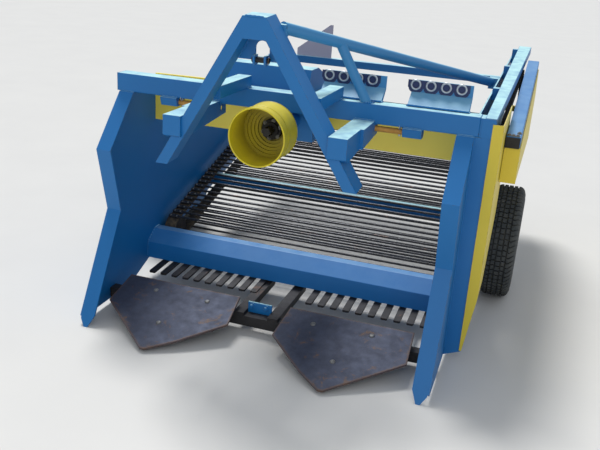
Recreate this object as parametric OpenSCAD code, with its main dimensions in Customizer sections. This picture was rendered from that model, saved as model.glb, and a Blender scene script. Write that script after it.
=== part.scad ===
/* [View] */
// Which sub-part to draw, or all of them

/* [Main sizes] */
// Outside width over the two side walls
body_w = 1472; // [1300:2:1700]
// Length from the front face of the beam to the rear end of the walls
wall_run = 1990; // [1900:10:2100]
// Height of the top of the main beam over the ground
beam_top_z = 1005; // [980:1:1030]

/* [Main beam] */
// Side of the square beam section
beam_s = 75; // [60:1:90]
// Wall of the beam tube
beam_t = 6; // [4:1:10]
// Overhang of the beam past each side wall
beam_over = 14; // [8:1:20]

/* [Side walls] */
// Thickness of the wall sheet
wall_t = 6; // [4:0.5:8]
// Width of the front flange
flange_w = 65; // [50:1:80]
// Thickness of the front flange
flange_t = 8; // [6:1:12]

/* [Mast] */
// Height of the mast's top over the ground
mast_top_z = 1318; // [1280:1:1360]
// Height of the lower ends of the mast legs
mast_low_z = 748; // [720:1:780]
// Distance of the mast's front face ahead of the beam
mast_fwd = 352; // [330:1:370]
// Width of a mast leg's front face
leg_face = 48; // [40:1:56]
// Depth of a mast leg, front to back
leg_deep = 90; // [70:1:100]
// Diameter of the top link pin
top_pin_d = 19; // [16:1:25]

/* [Hitch] */
// Diameter of the lower link pins
low_pin_d = 22; // [18:1:28]
// Drop of the lower link pins' axis below the beam's underside
low_pin_drop = 20; // [18:1:28]

/* [Input shaft] */
// Height of the input shaft over the ground
pto_z = 890; // [875:1:900]
// Diameter over the splines of the input shaft
pto_d = 35; // [30:1:40]
// Outside diameter of the shaft cone's mouth
cone_d = 216; // [200:1:230]

/* [Web] */
// Diameter of the web rods
rod_d = 11; // [8:1:14]
// Spacing of the web rods along the web
rod_pitch = 42; // [38:1:50]
// Slope of the web, degrees
web_slope = 15.8; // [14:0.1:17]
// Gap between each web belt and its side wall
belt_gap = 27; // [20:1:40]

/* [Shares] */
// Thickness of the share blades
share_t = 10; // [8:1:14]
// Slope of the share blades, degrees
share_slope = 15.6; // [14:0.1:18]
// Length of the share blades from the rear edge to the tip
share_len = 405; // [380:1:430]

/* [Wheels] */
// Outside diameter of the tyres
tyre_d = 538; // [500:2:560]
// Width of the tyres
tyre_w = 145; // [120:1:160]
// Distance of each tyre's middle plane outside its side wall
wheel_out = 140; // [130:1:155]
// Wheel axle's distance behind the beam's front face
wheel_y = 812; // [780:1:840]

/* [Hidden] */
$fn = 48;
hw = body_w / 2;
beam_z0 = beam_top_z - beam_s;
share_back_y = -65;
share_tip_y = share_back_y - share_len * cos(share_slope);
origin_y = (share_tip_y + wall_run) / 2;
low_pin_z = beam_z0 - low_pin_drop;
blue = [0.13, 0.36, 0.66];
yellow = [0.80, 0.70, 0.16];
steel = [0.35, 0.34, 0.36];
dark = [0.12, 0.12, 0.13];
web_z0 = 322;
web_y0 = 560;
function web_z(y) = web_z0 + (y - web_y0) * tan(web_slope);
web_front_y = 395;
web_front_r = 58;
web_rear_y = wall_run - 110;
web_rear_r = 70;
web_rod_r = rod_d / 2;
belt_t = 7;
belt_w = 56;
belt_x = hw - wall_t - belt_gap - belt_w;
web_top = belt_t + 0.2 + rod_d;
front_roller_z = web_z(web_front_y) - (web_front_r + web_top) / cos(web_slope);
rear_shaft_z = web_z(web_rear_y) - (web_rear_r + web_top) / cos(web_slope);
tyre_r = tyre_d / 2;
cross_shaft_y = 345;
chain_x = hw + 82;
guard_x = hw + 102;
wheel_x = hw + wheel_out;
chain_w = 14;

module place() {
    translate([0, -origin_y, 0])
        children();
}

module both_sides() {
    children();
    mirror([1, 0, 0])
        children();
}

module plate_yz(x0, t, pts) {
    translate([x0, 0, 0])
        rotate([90, 0, 90])
            linear_extrude(t)
                polygon(pts);
}

module plate_xz(y0, t, pts) {
    translate([0, y0 + t, 0])
        rotate([90, 0, 0])
            linear_extrude(t)
                polygon(pts);
}

module xcyl(x0, x1, y, z, d) {
    translate([x0, y, z])
        rotate([0, 90, 0])
            cylinder(h = x1 - x0, d = d);
}

module ycyl(y0, y1, x, z, d) {
    translate([x, y0, z])
        rotate([-90, 0, 0])
            cylinder(h = y1 - y0, d = d);
}

module block(lo, hi) {
    translate(lo)
        cube(hi - lo);
}

module rod_between(a, b, d) {
    v = b - a;
    l = norm(v);
    translate(a)
        rotate([0, acos(v[2] / l), atan2(v[1], v[0])])
            cylinder(h = l, d = d);
}

// Front edge of a side wall from the beam down to the toe, as [y, z]
wall_front = [[-7, beam_z0], [-192, 720], [-121, 445]];
// Lowest point of the front flange, and the lower edge of the sheet behind it
toe_tip = [-368, 0];
wall_toe = [[-347, 38], [-330, 22], [-140, 22], [60, 26], [300, 118]];
wall_rear_low = [wall_run, web_z(wall_run) - 225];

module wall_sheet(rear_top, mid) {
    plate_yz(hw - wall_t, wall_t, concat(
        wall_front, wall_toe, [wall_rear_low, [wall_run, rear_top]], mid,
        [[beam_s, beam_top_z - 15], [beam_s, beam_z0]]));
}

// Front flange with its lower end cut to a point
module wall_flange() {
    step = flange_t * 1.15;
    front = concat(wall_front, [toe_tip]);
    back = [for (i = [len(front) - 1 : -1 : 0]) [front[i][0] + step, front[i][1]]];
    y0 = toe_tip[0] - 10;
    tip_x = hw - 0.55 * flange_w;
    difference() {
        plate_yz(hw - flange_w, flange_w - wall_t, concat(front, back));
        plate_xz(y0, 60, [[hw - flange_w - 1, 47], [hw - flange_w - 1, -1], [tip_x - 7, -1]]);
        plate_xz(y0, 60, [[tip_x + 7, -1], [hw, -1], [hw, 38]]);
    }
}

module shaft_holes() {
    xcyl(hw - 20, hw + 20, web_rear_y, rear_shaft_z, 37);
    xcyl(hw - 20, hw + 20, cross_shaft_y, pto_z, 37);
}

module side_wall_left() {
    color(blue)
        place()
            mirror([1, 0, 0])
                difference() {
                    union() {
                        wall_sheet(905, [[wall_run - 230, 905], [wall_run - 370, 800], [1150, 785]]);
                        wall_flange();
                    }
                    shaft_holes();
                }
}

module side_wall_right() {
    color(blue)
        place()
            difference() {
                union() {
                    wall_sheet(beam_top_z + 25, []);
                    wall_flange();
                }
                shaft_holes();
            }
}

module top_beam() {
    half = hw + beam_over;
    color(blue)
        place()
            difference() {
                block([-half, 0, beam_z0], [half, beam_s, beam_top_z]);
                block([-half - 1, beam_t, beam_z0 + beam_t], [half + 1, beam_s - beam_t, beam_top_z - beam_t]);
            }
}

// Outer edge x of a mast leg at height z
function leg_x(z) = 43 + (mast_top_z - z) * 0.6105;
mast_lean = 4.1;
mast_foot_y = 22 - mast_fwd;
top_pin_y = 67;
top_pin_z = mast_top_z - 157;

module in_mast() {
    translate([0, mast_foot_y, mast_low_z])
        rotate([mast_lean, 0, 0])
            translate([0, 0, -mast_low_z])
                children();
}

module mast_leg() {
    plate_xz(0, leg_deep, [
        [leg_x(mast_top_z), mast_top_z], [leg_x(mast_low_z), mast_low_z],
        [leg_x(mast_low_z) - leg_face, mast_low_z], [leg_x(mast_top_z) - leg_face, mast_top_z]]);
}

module mast_leg_bore() {
    t = 6.5;
    top = mast_top_z - 80;
    plate_xz(5, leg_deep - 10, [
        [leg_x(top) - t, top], [leg_x(mast_low_z) - t, mast_low_z - 1],
        [leg_x(mast_low_z) - leg_face + t, mast_low_z - 1], [leg_x(top) - leg_face + t, top]]);
}

// Plate between the legs' rear edges, with its arched window and the pin's two lugs
module mast_plate() {
    z1 = mast_top_z - 70;
    z0 = mast_top_z - 162;
    arch_z = mast_top_z - 119;
    x1 = leg_x(z1) - leg_face + 2;
    x0 = leg_x(z0) - leg_face + 2;
    difference() {
        plate_xz(leg_deep - 8, 8, [[-x1, z1], [-x0, z0], [x0, z0], [x1, z1]]);
        ycyl(leg_deep - 10, leg_deep + 2, 0, arch_z, 52);
        block([-26, leg_deep - 10, mast_top_z - 149], [26, leg_deep + 2, arch_z]);
    }
    both_sides()
        block([17, 50, mast_top_z - 174], [25, leg_deep - 6, mast_top_z - 140]);
}

module a_frame() {
    gusset_z = mast_top_z - 77;
    color(blue)
        place()
            in_mast()
                difference() {
                    union() {
                        both_sides()
                            mast_leg();
                        plate_xz(0, 8, [
                            [-leg_x(gusset_z) + 20, gusset_z], [leg_x(gusset_z) - 20, gusset_z],
                            [40, mast_top_z], [-40, mast_top_z]]);
                        mast_plate();
                    }
                    both_sides()
                        mast_leg_bore();
                    xcyl(-40, 40, top_pin_y, top_pin_z, top_pin_d + 0.6);
                }
}

module hitch_arm() {
    difference() {
        plate_yz(279, 70, [
            [-352, 941], [-352, 866], [-318, 852], [60, 884], [60, beam_z0], [0, beam_z0], [0, 941]]);
        plate_yz(285, 58, [
            [-346, 935], [-346, 870], [-317, 858], [70, 890], [70, beam_z0 - 6], [-5, beam_z0 - 6], [-5, 935]]);
    }
    plate_yz(349, 12, [[-170, 941], [-170, 866], [60, 884], [60, beam_z0], [0, beam_z0], [0, 941]]);
}

module pin_lug() {
    low = low_pin_z - 15;
    plate_yz(470, 73, [[-14, beam_z0], [-2, low], [42, low], [54, beam_z0]]);
}

module mast_stay() {
    difference() {
        block([163, -262, beam_top_z], [219, 40, beam_top_z + 46]);
        block([168, -263, beam_top_z + 5], [214, 35, beam_top_z + 41]);
    }
}

module hitch_brackets() {
    color(blue)
        place()
            both_sides()
                difference() {
                    union() {
                        hitch_arm();
                        pin_lug();
                        mast_stay();
                    }
                    xcyl(270, 560, 20, low_pin_z, low_pin_d + 0.6);
                    in_mast()
                        mast_leg();
                }
}

module hitch_pins() {
    color([0.55, 0.30, 0.14])
        place() {
            both_sides() {
                xcyl(338, 361, 20, low_pin_z, low_pin_d + 0.4);
                xcyl(361, 470, 20, low_pin_z, low_pin_d);
                xcyl(470, 541, 20, low_pin_z, low_pin_d + 0.4);
            }
            in_mast() {
                xcyl(-16, 16, top_pin_y, top_pin_z, top_pin_d);
                both_sides()
                    xcyl(15, 32, top_pin_y, top_pin_z, top_pin_d + 0.4);
            }
        }
}

// Ends of the long brace, and the foot of its strut on the beam
brace_d = 42.4;
brace_a = [63, -259, mast_top_z - 40];
brace_b = [hw - wall_t - 22, 1025, beam_top_z - 20];
strut_d = 38;
strut_foot = [324, 22, beam_top_z - 15];

module mast_braces() {
    strut_top = brace_a + 0.21 * (brace_b - brace_a);
    color(blue)
        place() {
            difference() {
                union() {
                    rod_between(brace_a, brace_b, brace_d);
                    rod_between(strut_foot, strut_top, strut_d);
                }
                block([200, -80, beam_z0], [420, 140, beam_top_z]);
            }
            in_mast()
                block([41, leg_deep, mast_top_z - 76], [80, leg_deep + 30, mast_top_z - 34]);
            block(brace_b - [22, 32, 25], brace_b + [22, 32, 25]);
        }
}

hood_z = pto_z + 100;
// Round boss ahead of the gearbox, 1 mm below the beam
boss_d = 2 * (beam_z0 - pto_z - 1);

module gearbox() {
    color(blue)
        place()
            difference() {
                union() {
                    block([-95, beam_s, pto_z - 85], [95, 392, hood_z]);
                    ycyl(-128, 90, 0, pto_z, boss_d);
                    ycyl(-146, -128, 0, pto_z, boss_d - 14);
                    xcyl(-125, 125, cross_shaft_y, pto_z, 84);
                }
                ycyl(-150, -60, 0, pto_z, pto_d + 0.1);
                xcyl(90, 130, cross_shaft_y, pto_z, 32.2);
            }
}

// Rear end of the hood's flat top
hood_flat_y = 215;

module gearbox_hood() {
    t = 3;
    color(blue)
        place()
            difference() {
                plate_yz(-300, 360, [
                    [beam_s + 8, hood_z], [125, hood_z + 95], [hood_flat_y, hood_z + 95], [420, hood_z + 15], [420, hood_z]]);
                plate_yz(-300 + t, 360 - 2 * t, [
                    [beam_s + 12, hood_z - 1], [127, hood_z + 95 - t], [hood_flat_y - 1, hood_z + 95 - t],
                    [420 - t, hood_z + 15 - t], [420 - t, hood_z - 1]]);
            }
}

module input_shaft() {
    color(steel)
        place()
            difference() {
                union() {
                    ycyl(-205, -62, 0, pto_z, pto_d);
                    ycyl(-160, -147, 0, pto_z, pto_d + 24);
                }
                for (a = [0 : 60 : 300])
                    translate([0, -206, pto_z])
                        rotate([0, a, 0])
                            block([-4.5, 0, pto_d / 2 - 3], [4.5, 42, pto_d]);
            }
}

// Stepped rear of the shaft cone: radius step and length of each step
cone_steps = 5;
cone_step_l = 8;
cone_mouth_l = 144;
cone_t = 4;

module cone_solid(less) {
    r0 = cone_d / 2;
    dr = (r0 - boss_d / 2 - 12) / cone_steps;
    cylinder(h = cone_mouth_l, r = r0 - less);
    for (i = [1 : cone_steps])
        translate([0, 0, cone_mouth_l + (i - 1) * cone_step_l])
            cylinder(h = cone_step_l, r = r0 - i * dr - less);
}

module shaft_cone() {
    color(yellow)
        place()
            translate([0, -305, pto_z])
                rotate([-90, 0, 0])
                    difference() {
                        cone_solid(0);
                        translate([0, 0, -cone_t])
                            cone_solid(cone_t);
                        cylinder(h = 300, r = boss_d / 2 + 0.3);
                    }
}

module cross_shaft_tube() {
    color(blue)
        place() {
            difference() {
                xcyl(125, hw - wall_t, cross_shaft_y, pto_z, 60);
                xcyl(124, hw, cross_shaft_y, pto_z, 48);
            }
            difference() {
                xcyl(hw, hw + 16, cross_shaft_y, pto_z, 96);
                xcyl(hw - 1, hw + 20, cross_shaft_y, pto_z, 32.4);
            }
        }
}

module cross_shaft() {
    color(steel)
        place() {
            xcyl(92, chain_x + 10, cross_shaft_y, pto_z, 32);
            xcyl(chain_x - 4, chain_x + 4, cross_shaft_y, pto_z, 95.4);
            xcyl(chain_x - 20, chain_x - 4, cross_shaft_y, pto_z, 60);
        }
}

// Chain sprocket centres as [y, z, radius of the chain's inside]
idler_y = wall_run - 480;
idler_z = 955;
chain_pts = [[cross_shaft_y, pto_z, 48], [idler_y, idler_z, 34], [web_rear_y, rear_shaft_z, 58]];

module chain_outline(grow) {
    hull()
        for (p = chain_pts)
            translate([p[0], p[1]])
                circle(r = p[2] + grow);
}

module drive_chain() {
    color(dark)
        place() {
            translate([chain_x - chain_w / 2, 0, 0])
                rotate([90, 0, 90])
                    linear_extrude(chain_w)
                        difference() {
                            chain_outline(14);
                            chain_outline(0);
                        }
            xcyl(chain_x - 4, chain_x + 4, idler_y, idler_z, 67.4);
            xcyl(hw, chain_x + 10, idler_y, idler_z, 25);
        }
}

// Cover over the upper chain run: [y, z] of its underside at the front and rear
cover_a = [215, 862];
cover_b = [wall_run - 470, 1010];

module chain_cover() {
    dir = (cover_b - cover_a) / norm(cover_b - cover_a);
    up = [-dir[1], dir[0]] * 44;
    color(blue)
        place()
            difference() {
                plate_yz(guard_x + 2, 56, [cover_a, cover_b, cover_b + up, cover_a + up]);
                plate_yz(guard_x, 54, [cover_a + dir * 5 - up * 0.1, cover_b - dir * 5 - up * 0.1, cover_b - dir * 5 + up * 0.9, cover_a + dir * 5 + up * 0.9]);
            }
}

guard_w = 62;
guard_rear = wall_run - 30;
guard_low_front = 718;
guard_low_rear = 543;
function guard_low(y) =
    guard_low_front + (y - cover_a[0]) * (guard_low_rear - guard_low_front) / (guard_rear - cover_a[0]);

module chain_guard() {
    t = 3;
    rear = guard_rear;
    color(yellow)
        place() {
            difference() {
                plate_yz(guard_x, guard_w, [
                    cover_a, [cover_a[0], guard_low_front], [rear, guard_low_rear], [rear, 800],
                    cover_b + [40, -4], cover_b]);
                plate_yz(guard_x - 1, guard_w - 2, [
                    cover_a + [t, -8], [cover_a[0] + t, guard_low_front + t], [rear - t, guard_low_rear + t],
                    [rear - t, 798], cover_b + [38, -8], cover_b + [0, -8]]);
                plate_yz(guard_x - 8, guard_w + 18, [
                    cover_a + [0, -0.3], cover_b + [0, -0.3], cover_b + [0, 30], cover_a + [0, 30]]);
            }
            for (b = [[450, guard_low(450) + 6], [1040, guard_low(1040) + 5], [rear - 40, 700]])
                block([hw, b[0], b[1]], [guard_x + guard_w - 2, b[0] + 30, b[1] + 32]);
        }
}

// Inner and outer edge of the side guard's front strip
strip_x = [hw + 60, hw + 100];

module side_guard() {
    t = 4;
    x0 = strip_x[0];
    x1 = strip_x[1];
    color(yellow)
        place() {
            plate_yz(x1 - t, t, [[-4, 985], [-4, 290], [200, 300], [440, 520], [440, 985]]);
            plate_xz(-4, t, [[x0, 985], [x1, 985], [x1, 290], [x0 + 9, 60], [x0, 60]]);
            for (y = [20, 380])
                block([hw, y, 560], [x1 - t, y + 30, 590]);
        }
}

// Plate that closes the front between the right wall and the side guard
module drive_side_plate() {
    x1 = strip_x[0] + 6;
    rail_x = hw + 30;
    color(blue)
        place()
            plate_xz(0, 3, [
                [hw, 27], [x1, 55], [x1, beam_top_z - 44], [rail_x, beam_top_z - 44], [rail_x, beam_z0],
                [hw, beam_z0]]);
}

module front_apron() {
    color(yellow)
        place()
            difference() {
                union() {
                    block([-hw + wall_t, 290, 758], [hw - wall_t, 293, 978]);
                    block([-hw + wall_t, 290, 975], [hw - wall_t, 315, 978]);
                }
                block([-130, 280, 740], [230, 320, 1000]);
            }
}

// Ring plates behind the beam: [x of the left end, width, x of the first ring]
ring_plate = [[hw - 268, 232, hw - 253], [118, 250, 139]];
ring_pitch = 58;
lip_y = 112;
function brace_z(y) = brace_a[2] + (y - brace_a[1]) * (brace_b[2] - brace_a[2]) / (brace_b[1] - brace_a[1]);
// Upper edge of the lips over the beam, as a share of the room under the brace
lip_top = 0.55 * (brace_z(lip_y) - brace_d / 2 - beam_top_z);
lip_w = 0.49 * lip_top;
lip_h = [lip_top - lip_w, lip_top];
ring_r = 0.38 * lip_w;

module ring_plates() {
    t = 6;
    color(blue)
        place()
            for (p = ring_plate)
                plate_yz(p[0], p[1], [
                    [44, beam_top_z], [beam_s, beam_top_z], [lip_y + t, beam_top_z + lip_h[0] - 6],
                    [lip_y + t, beam_top_z + lip_h[1]], [lip_y, beam_top_z + lip_h[1]],
                    [lip_y, beam_top_z + lip_h[0]], [52, beam_top_z + t], [44, beam_top_z + t]]);
}

module lip_rings() {
    color(dark)
        place()
            for (p = ring_plate, i = [0 : 3])
                translate([p[2] + i * ring_pitch, lip_y - 4.2, beam_top_z + (lip_h[0] + lip_h[1]) / 2 + 4])
                    rotate([90, 0, 0])
                        rotate_extrude()
                            translate([ring_r, 0])
                                circle(d = 8);
}

// Section of the cross tube as [y, z]: front lower edge, bend, top front edge
tube_front = [[205, 100], [215, 174], [284, 223]];
tube_back_y = 330;
tube_t = 6;

module cross_tube() {
    f = tube_front;
    color(blue)
        place()
            difference() {
                plate_yz(-hw + wall_t, 2 * (hw - wall_t), concat(f, [[tube_back_y, f[2][1]], [tube_back_y, f[0][1]]]));
                plate_yz(-hw + wall_t - 1, 2 * (hw - wall_t) + 2, [
                    f[0] + [tube_t + 1, tube_t], f[1] + [tube_t, -3], f[2] + [3, -tube_t],
                    [tube_back_y - tube_t, f[2][1] - tube_t], [tube_back_y - tube_t, f[0][1] + tube_t]]);
            }
}

share_z0 = 130;
share_x1 = hw - 98;
// The blades sit a little to the left of the middle
share_shift = -18;
function share_z(y) = share_z0 + (y - share_back_y) * tan(share_slope);

// One share blade in its own plane: x, and distance from the rear edge
share_pts = [
    [share_x1, 0], [114, 0], [97, -178], [hw - 476, -share_len + 72], [hw - 378, -share_len],
    [hw - 358, -share_len], [share_x1 + 7, -180]];

module share_blade() {
    translate([0, share_back_y, share_z0])
        rotate([share_slope, 0, 0])
            translate([0, 0, -share_t])
                linear_extrude(share_t)
                    polygon(share_pts);
}

module share_left() {
    color(steel)
        place()
            translate([share_shift, 0, 0])
                mirror([1, 0, 0])
                    share_blade();
}

module share_right() {
    color(steel)
        place()
            translate([share_shift, 0, 0])
                share_blade();
}

// Two arms from the bar back to the cross tube: left side x of each, width, rear end
arm_x = [-136, 15];
arm_w = 45;
arm_end = 292;
tube_low = tube_front[0][1];
// Bar under the share blades as [y0, y1, z0, z1]
bar = [share_back_y - 60, share_back_y - 14, share_z0 - 100, share_z0 - 54];

module share_carrier() {
    low = share_t / cos(share_slope);
    front = share_back_y - 200;
    color(dark)
        place() {
            block([-hw + wall_t, bar[0], bar[2]], [hw - wall_t, bar[1], bar[3]]);
            translate([share_shift, 0, 0])
                both_sides()
                    for (x = [150, 380, hw - 160])
                        plate_yz(x, 12, [
                            [front, share_z(front) - low], [front, share_z(front) - low - 14], [bar[0], bar[2]],
                            [bar[0], bar[3]], [bar[1], bar[3]], [bar[1], share_z(bar[1]) - low]]);
            for (x = arm_x)
                plate_yz(x, arm_w, [
                    [bar[0], bar[3]], [bar[1], bar[3]], [bar[1], bar[2] + 24], [arm_end - 30, 60],
                    [arm_end, tube_low], [arm_end - 52, tube_low], [arm_end - 57, tube_low - comb_t],
                    [bar[0], tube_low - comb_t]]);
        }
}

// Plate between the two arms
module centre_bracket() {
    color(blue)
        place()
            block([arm_x[0] + arm_w, share_back_y - 8, share_z0 - 60], [arm_x[1], share_back_y, share_z0 - 10]);
}

// Comb under the cross tube's front edge
comb_pitch = 56;
comb_w = 26;
comb_out = 76;
comb_t = 10;
comb_x0 = 116;

module finger_grates() {
    count = floor((share_x1 - comb_x0) / comb_pitch);
    y0 = tube_front[0][0];
    z1 = tube_front[0][1];
    color(dark)
        place()
            both_sides()
                for (i = [0 : count])
                    block([comb_x0 + i * comb_pitch, y0 - comb_out, z1 - comb_t], [comb_x0 + i * comb_pitch + comb_w, y0 + 30, z1]);
}

// Centre line of the web: front roller, rear sprocket, [y, z]
web_a = [web_front_y, front_roller_z];
web_b = [web_rear_y, rear_shaft_z];

// Outline of the web loop at distance g outside the belts' inner face
module web_outline(g) {
    hull() {
        translate(web_a)
            circle(r = web_front_r + g);
        translate(web_b)
            circle(r = web_rear_r + g);
    }
}

module web_belts() {
    color(dark)
        place()
            both_sides()
                translate([belt_x, 0, 0])
                    rotate([90, 0, 90])
                        linear_extrude(belt_w)
                            difference() {
                                web_outline(belt_t);
                                web_outline(0);
                            }
}

web_len = norm(web_b - web_a);
web_tilt = atan2(web_b[1] - web_a[1], web_b[0] - web_a[0]);
web_taper = asin((web_rear_r - web_front_r) / web_len);

module web_rod(y, z) {
    xcyl(-belt_x - belt_w + 8, belt_x + belt_w - 8, y, z, rod_d);
}

module web_rods() {
    g = belt_t + web_rod_r + 0.2;
    n = floor(web_len / rod_pitch);
    color(steel)
        place()
            for (i = [0 : n], s = [1, -1]) {
                t = i * rod_pitch;
                f = t / web_len;
                r = (1 - f) * web_front_r + f * web_rear_r + g;
                c = web_a + [cos(web_tilt), sin(web_tilt)] * t;
                a = web_tilt + s * (90 + web_taper);
                web_rod(c[0] + r * cos(a), c[1] + r * sin(a));
            }
}

module web_drive_shaft() {
    color(steel)
        place() {
            xcyl(-hw - 26, chain_x + 10, web_rear_y, rear_shaft_z, 35);
            both_sides()
                xcyl(belt_x + 2, belt_x + belt_w - 2, web_rear_y, rear_shaft_z, 2 * web_rear_r - 0.6);
            xcyl(chain_x - 4, chain_x + 4, web_rear_y, rear_shaft_z, 115.4);
        }
}

module web_rollers() {
    color(dark)
        place()
            both_sides() {
                xcyl(belt_x + 2, belt_x + belt_w - 2, web_front_y, front_roller_z, 2 * web_front_r - 0.6);
                xcyl(belt_x + belt_w - 2, hw - wall_t, web_front_y, front_roller_z, 30);
            }
}

support_y = 825;
support_z = web_z(support_y) - 84;

module web_supports() {
    color(blue)
        place()
            difference() {
                block([-hw + wall_t, support_y, support_z], [hw - wall_t, support_y + 50, support_z + 50]);
                block([-hw, support_y + 5, support_z + 5], [hw, support_y + 45, support_z + 45]);
            }
}

module top_rail() {
    t = 4;
    slope = 2.45;
    x0 = hw + 30;
    w = [42, 68];
    l = wall_run - 90;
    color(blue)
        place() {
            translate([0, 0, beam_top_z])
                rotate([slope, 0, 0])
                    difference() {
                        translate([0, 0, -42])
                            linear_extrude(42)
                                polygon([[x0, 0], [x0 + w[0], 0], [x0 + w[1], l], [x0, l]]);
                        translate([0, 0, -43])
                            linear_extrude(43 - t)
                                polygon([
                                    [x0 + t, -1], [x0 + w[0] - t, -1],
                                    [x0 + w[1] - t, l + 1], [x0 + t, l + 1]]);
                    }
            block([hw + beam_over, 0, beam_z0], [x0, beam_s, beam_top_z - 2]);
            for (y = [0.3 * wall_run, 0.6 * wall_run, 0.9 * wall_run])
                block([hw, y, beam_top_z - 46 + y * 0.02], [x0, y + 40, beam_top_z - 6 + y * tan(slope)]);
        }
}

module rear_bar() {
    color(blue)
        place()
            difference() {
                block([-hw + wall_t, wall_run - 90, 852], [hw - wall_t, wall_run - 45, 897]);
                block([-hw, wall_run - 86, 856], [hw, wall_run - 49, 893]);
            }
}

module rear_plate() {
    color([0.42, 0.42, 0.50])
        place()
            plate_xz(wall_run - 70, 4, [
                [136 - hw, 897], [136 - hw, 940], [346 - hw, 1100], [364 - hw, 1100], [364 - hw, 897]]);
}

module wheel_arms() {
    color(blue)
        place()
            both_sides() {
                block([hw, wheel_y - 60, 190], [hw + 12, wheel_y + 60, 560]);
                xcyl(hw + 12, wheel_x - 64, wheel_y, tyre_r, 60);
                xcyl(wheel_x - 64, wheel_x + 58, wheel_y, tyre_r, 30);
            }
}

rim_r = 135;

module wheel() {
    difference() {
        union() {
            translate([wheel_x, wheel_y, tyre_r])
                rotate([0, 90, 0])
                    rotate_extrude()
                        polygon([
                            [rim_r + 8, -58], [rim_r + 8, -52], [rim_r - 6, -46], [rim_r - 6, 46], [rim_r + 8, 52], [rim_r + 8, 58],
                            [rim_r - 2, 58], [rim_r - 12, 50], [rim_r - 12, 14], [60, 22], [60, 14], [rim_r - 12, 6],
                            [rim_r - 12, -50], [rim_r - 2, -58]]);
            xcyl(wheel_x - 58, wheel_x + 52, wheel_y, tyre_r, 76);
            xcyl(wheel_x + 14, wheel_x + 22, wheel_y, tyre_r, 130);
        }
        xcyl(wheel_x - 70, wheel_x + 70, wheel_y, tyre_r, 30.1);
    }
}

module wheel_right() {
    color([0.75, 0.76, 0.78])
        place()
            wheel();
}

module wheel_left() {
    color([0.75, 0.76, 0.78])
        place()
            mirror([1, 0, 0])
                wheel();
}

module tyre() {
    w = tyre_w / 2;
    translate([wheel_x, wheel_y, tyre_r])
        rotate([0, 90, 0])
            rotate_extrude($fn = 96)
                polygon([
                    [rim_r + 8.2, -w + 8], [rim_r + 30, -w + 1], [rim_r + 60, -w], [tyre_r - 30, -w + 4], [tyre_r - 8, -w + 14], [tyre_r, -w + 30],
                    [tyre_r, w - 30], [tyre_r - 8, w - 14], [tyre_r - 30, w - 4], [rim_r + 60, w], [rim_r + 30, w - 1], [rim_r + 8.2, w - 8]]);
}

module tyre_right() {
    color(dark)
        place()
            tyre();
}

module tyre_left() {
    color(dark)
        place()
            mirror([1, 0, 0])
                tyre();
}

side_wall_left();
side_wall_right();
top_beam();
a_frame();
hitch_brackets();
hitch_pins();
mast_braces();
gearbox();
gearbox_hood();
input_shaft();
shaft_cone();
cross_shaft();
cross_shaft_tube();
drive_chain();
chain_cover();
chain_guard();
side_guard();
drive_side_plate();
front_apron();
ring_plates();
lip_rings();
cross_tube();
share_left();
share_right();
share_carrier();
centre_bracket();
finger_grates();
web_rods();
web_belts();
web_drive_shaft();
web_rollers();
web_supports();
top_rail();
rear_bar();
rear_plate();
wheel_arms();
wheel_left();
wheel_right();
tyre_left();
tyre_right();
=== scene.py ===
import math

import bmesh
import bpy
from mathutils import Matrix, Vector


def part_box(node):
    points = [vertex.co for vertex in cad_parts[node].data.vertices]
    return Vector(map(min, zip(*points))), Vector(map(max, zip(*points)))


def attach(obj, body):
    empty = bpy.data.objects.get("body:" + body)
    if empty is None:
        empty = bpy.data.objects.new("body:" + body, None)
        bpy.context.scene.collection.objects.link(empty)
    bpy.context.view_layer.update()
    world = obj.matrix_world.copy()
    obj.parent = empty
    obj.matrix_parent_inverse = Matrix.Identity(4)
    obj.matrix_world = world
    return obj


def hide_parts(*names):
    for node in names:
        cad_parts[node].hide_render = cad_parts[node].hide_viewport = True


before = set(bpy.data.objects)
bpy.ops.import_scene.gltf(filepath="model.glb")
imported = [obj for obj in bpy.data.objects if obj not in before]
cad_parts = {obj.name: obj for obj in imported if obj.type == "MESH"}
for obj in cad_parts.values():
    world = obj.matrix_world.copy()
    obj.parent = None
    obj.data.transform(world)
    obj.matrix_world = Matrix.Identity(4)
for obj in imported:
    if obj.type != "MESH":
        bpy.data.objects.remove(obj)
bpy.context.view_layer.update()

MM = 0.001
SAME_POINT = 0.02 * MM  # mesh corners this close together are one corner
scene = bpy.context.scene
scene.view_settings.view_transform = "Standard"


# ---------------------------------------------------------------- camera

CAMERA_PLACE = (0.9558, -3.5529, 1.5353)
YAW, PITCH, ROLL = -17.229, 20.0, 3.87  # degrees
# The lens in pixels of the image, the image's width in pixels and the sensor's in millimetres
LENS_PIXELS, IMAGE_PIXELS, SENSOR_WIDTH = 756.6, 600, 36


def photo_camera():
    """The photograph's standpoint: on the drive side, looking down and slightly rolled."""
    yaw, pitch, roll = (math.radians(a) for a in (YAW, PITCH, ROLL))
    look = Vector((
        math.sin(yaw) * math.cos(pitch), math.cos(yaw) * math.cos(pitch), -math.sin(pitch)))
    level = Vector((math.cos(yaw), -math.sin(yaw), 0))
    upward = level.cross(look)
    right = math.cos(roll) * level + math.sin(roll) * upward
    up = math.cos(roll) * upward - math.sin(roll) * level
    lens = bpy.data.cameras.new("photo_camera")
    lens.sensor_fit = "HORIZONTAL"
    lens.sensor_width = SENSOR_WIDTH
    lens.lens = LENS_PIXELS / IMAGE_PIXELS * SENSOR_WIDTH
    camera = bpy.data.objects.new("photo_camera", lens)
    turn = Matrix((right, up, -look)).transposed().to_4x4()
    camera.matrix_world = Matrix.Translation(CAMERA_PLACE) @ turn
    scene.collection.objects.link(camera)
    scene.camera = camera


photo_camera()


# ---------------------------------------------------------------- finishes

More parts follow.
